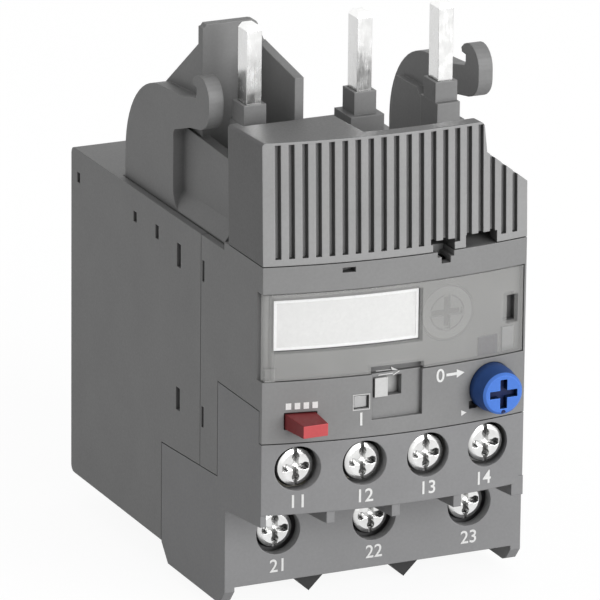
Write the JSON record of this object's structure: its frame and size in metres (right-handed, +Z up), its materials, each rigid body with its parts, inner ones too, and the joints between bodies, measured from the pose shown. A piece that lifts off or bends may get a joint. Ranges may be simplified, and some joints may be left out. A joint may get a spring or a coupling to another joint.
{
  "type": "thermal overload relay",
  "caption": "Plug-on thermal overload relay for a motor contactor: finned front shroud, hinged clear cover over the setting dial, reset knob, stop button, screw clamps and hook plates.",
  "frame": {"origin": "centre of the bounding box in plan, at the level of the tips of the ridges between the wire entries", "axes": "+X across the poles to the right seen from the front, +Y from the front to the back, +Z up along the contactor pins"},
  "size_m": [0.045, 0.071, 0.0822],
  "materials": {
    "housing": "fine spark-eroded texture",
    "front": "fine spark-eroded texture",
    "shroud": "fine spark-eroded texture",
    "label": "satin",
    "clear": "clear, polished",
    "dial": "satin",
    "blue": "satin gloss",
    "red": "satin gloss",
    "inner": "satin",
    "pale": "satin",
    "spring": "drawn wire",
    "pin": "tinned copper",
    "screw": "zinc-plated",
    "clamp": "zinc-plated",
    "heater": "oxidised resistance strip",
    "bimetal": "rolled",
    "contact": "silver-tipped bronze"
  },
  "bodies": {
    "housing": {"rear_housing": "housing", "hook_deck": "housing", "ribbed_shroud": "shroud", "front_housing": "front", "terminal_block": "front", "label_plate": "label", "contactor_pin_1": "pin", "contactor_pin_2": "pin", "contactor_pin_3": "pin", "heater_winding_1": "heater", "heater_winding_2": "heater", "heater_winding_3": "heater", "bimetal_strip_1": "bimetal", "bimetal_strip_2": "bimetal", "bimetal_strip_3": "bimetal", "load_bar_1": "pin", "load_bar_2": "pin", "load_bar_3": "pin", "aux_bar_1": "pin", "aux_bar_2": "pin", "aux_bar_3": "pin", "aux_bar_4": "pin", "lever_pin": "spring"},
    "cover": {"window_cover": "clear"},
    "dial": {"setting_dial": "dial"},
    "plunger": {"reset_plunger": "inner", "reset_spring": "spring"},
    "knob": {"reset_knob": "blue"},
    "stop": {"stop_button": "red", "stop_spring": "spring"},
    "test": {"test_slider": "pale"},
    "flag": {"trip_flag": "pale"},
    "slide": {"trip_slide": "inner"},
    "lever": {"trip_lever": "inner"},
    "carrier": {"contact_carrier": "inner", "break_contact": "contact", "make_contact": "contact"},
    "main_screw_1": {"main_screw_1": "screw"},
    "main_clamp_1": {"main_clamp_1": "clamp"},
    "main_screw_2": {"main_screw_2": "screw"},
    "main_clamp_2": {"main_clamp_2": "clamp"},
    "main_screw_3": {"main_screw_3": "screw"},
    "main_clamp_3": {"main_clamp_3": "clamp"},
    "aux_screw_1": {"aux_screw_1": "screw"},
    "aux_clamp_1": {"aux_clamp_1": "clamp"},
    "aux_screw_2": {"aux_screw_2": "screw"},
    "aux_clamp_2": {"aux_clamp_2": "clamp"},
    "aux_screw_3": {"aux_screw_3": "screw"},
    "aux_clamp_3": {"aux_clamp_3": "clamp"},
    "aux_screw_4": {"aux_screw_4": "screw"},
    "aux_clamp_4": {"aux_clamp_4": "clamp"}
  },
  "joints": [
    {"name": "cover_hinge", "type": "hinge", "parent": "housing", "child": "cover", "pos_m": [-0.0216, -0.02848, 0.0438], "axis": [0, 0, -1], "range_deg": [0, 110]},
    {"name": "dial_turn", "type": "hinge", "parent": "housing", "child": "dial", "pos_m": [0.0042, -0.03001, 0.04455], "axis": [0, -1, 0], "range_deg": [-135, 135]},
    {"name": "reset_press", "type": "slide", "parent": "housing", "child": "plunger", "axis": [0, 1, 0], "range_m": [0, 0.0025], "stiffness_N_per_m": 400, "deforming": ["reset_spring"]},
    {"name": "reset_mode", "type": "hinge", "parent": "plunger", "child": "knob", "pos_m": [0.0105, -0.03148, 0.0336], "axis": [0, 1, 0], "range_deg": [0, 90]},
    {"name": "stop_press", "type": "slide", "parent": "housing", "child": "stop", "axis": [0, 1, 0], "range_m": [0, 0.002], "stiffness_N_per_m": 300, "deforming": ["stop_spring"]},
    {"name": "test_pull", "type": "slide", "parent": "housing", "child": "test", "axis": [1, 0, 0], "range_m": [0, 0.0021]},
    {"name": "trip_slide_travel", "type": "slide", "parent": "housing", "child": "slide", "axis": [1, 0, 0], "range_m": [0, 0.0025]},
    {"name": "trip_lever_turn", "type": "hinge", "parent": "housing", "child": "lever", "pos_m": [0.0076, -0.01102, 0.045], "axis": [0, 0, 1], "range_deg": [0, 18]},
    {"name": "carrier_travel", "type": "slide", "parent": "housing", "child": "carrier", "axis": [0, -1, 0], "range_m": [0, 0.0016]},
    {"name": "flag_travel", "type": "slide", "parent": "housing", "child": "flag", "axis": [0, 0, 1], "range_m": [0, 0.0018]},
    {"name": "main_screw_1_turn", "type": "hinge", "parent": "housing", "child": "main_screw_1", "pos_m": [-0.0145, -0.01752, 0.0115], "axis": [0, 1, 0], "range_deg": [0, 2880]},
    {"name": "main_clamp_1_travel", "type": "slide", "parent": "housing", "child": "main_clamp_1", "axis": [0, -1, 0], "range_m": [0, 0.004]},
    {"name": "main_screw_2_turn", "type": "hinge", "parent": "housing", "child": "main_screw_2", "pos_m": [0, -0.01752, 0.0115], "axis": [0, 1, 0], "range_deg": [0, 2880]},
    {"name": "main_clamp_2_travel", "type": "slide", "parent": "housing", "child": "main_clamp_2", "axis": [0, -1, 0], "range_m": [0, 0.004]},
    {"name": "main_screw_3_turn", "type": "hinge", "parent": "housing", "child": "main_screw_3", "pos_m": [0.0145, -0.01752, 0.0115], "axis": [0, 1, 0], "range_deg": [0, 2880]},
    {"name": "main_clamp_3_travel", "type": "slide", "parent": "housing", "child": "main_clamp_3", "axis": [0, -1, 0], "range_m": [0, 0.004]},
    {"name": "aux_screw_1_turn", "type": "hinge", "parent": "housing", "child": "aux_screw_1", "pos_m": [-0.0176, -0.01752, 0.0252], "axis": [0, 1, 0], "range_deg": [0, 1600]},
    {"name": "aux_clamp_1_travel", "type": "slide", "parent": "housing", "child": "aux_clamp_1", "axis": [0, -1, 0], "range_m": [0, 0.002]},
    {"name": "aux_screw_2_turn", "type": "hinge", "parent": "housing", "child": "aux_screw_2", "pos_m": [-0.00833, -0.01752, 0.0252], "axis": [0, 1, 0], "range_deg": [0, 1600]},
    {"name": "aux_clamp_2_travel", "type": "slide", "parent": "housing", "child": "aux_clamp_2", "axis": [0, -1, 0], "range_m": [0, 0.002]},
    {"name": "aux_screw_3_turn", "type": "hinge", "parent": "housing", "child": "aux_screw_3", "pos_m": [0.00094, -0.01752, 0.0252], "axis": [0, 1, 0], "range_deg": [0, 1600]},
    {"name": "aux_clamp_3_travel", "type": "slide", "parent": "housing", "child": "aux_clamp_3", "axis": [0, -1, 0], "range_m": [0, 0.002]},
    {"name": "aux_screw_4_turn", "type": "hinge", "parent": "housing", "child": "aux_screw_4", "pos_m": [0.01021, -0.01752, 0.0252], "axis": [0, 1, 0], "range_deg": [0, 1600]},
    {"name": "aux_clamp_4_travel", "type": "slide", "parent": "housing", "child": "aux_clamp_4", "axis": [0, -1, 0], "range_m": [0, 0.002]}
  ],
  "couplings": [
    {"joint": "trip_lever_turn", "follows": "trip_slide_travel", "rad_per_m": 125.65},
    {"joint": "carrier_travel", "follows": "trip_slide_travel", "ratio": 0.64},
    {"joint": "flag_travel", "follows": "trip_slide_travel", "ratio": 0.72},
    {"joint": "main_screw_1_turn", "follows": "main_clamp_1_travel", "rad_per_m": 12565},
    {"joint": "main_screw_2_turn", "follows": "main_clamp_2_travel", "rad_per_m": 12565},
    {"joint": "main_screw_3_turn", "follows": "main_clamp_3_travel", "rad_per_m": 12565},
    {"joint": "aux_screw_1_turn", "follows": "aux_clamp_1_travel", "rad_per_m": 13961},
    {"joint": "aux_screw_2_turn", "follows": "aux_clamp_2_travel", "rad_per_m": 13961},
    {"joint": "aux_screw_3_turn", "follows": "aux_clamp_3_travel", "rad_per_m": 13961},
    {"joint": "aux_screw_4_turn", "follows": "aux_clamp_4_travel", "rad_per_m": 13961}
  ]
}
